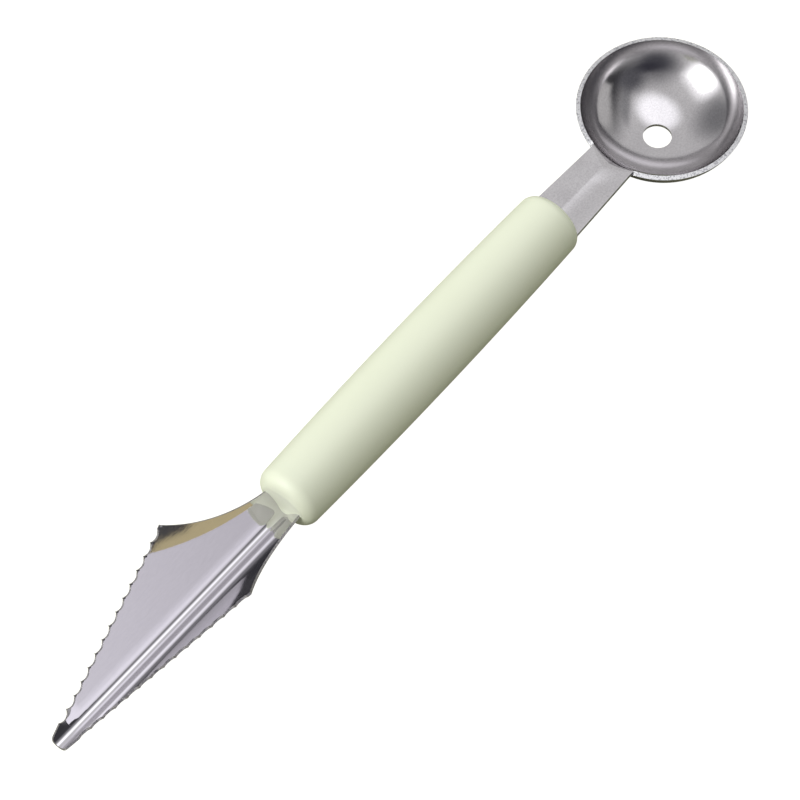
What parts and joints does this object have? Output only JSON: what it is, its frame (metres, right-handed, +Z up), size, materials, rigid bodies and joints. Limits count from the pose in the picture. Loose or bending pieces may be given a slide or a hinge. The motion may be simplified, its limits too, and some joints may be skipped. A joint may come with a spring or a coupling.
{
  "type": "melon baller",
  "caption": "Two-headed melon baller: barrel handle with a round drained scoop at one end and a serrated V-shaped carving blade at the other.",
  "frame": {"origin": "middle of the handle, on its axis", "axes": "+X along the handle towards the spoon, +Z up, the way that the bowl and the blade's trough open, +Y to the left when looking along +X"},
  "size_m": [0.195, 0.0338, 0.0211],
  "materials": {
    "handle_plastic": "satin",
    "spoon_steel": "fine satin",
    "blade_steel": "bright rolled"
  },
  "bodies": {
    "root": {"handle": "handle_plastic", "spoon": "spoon_steel", "carving_blade": "blade_steel"}
  },
  "joints": []
}
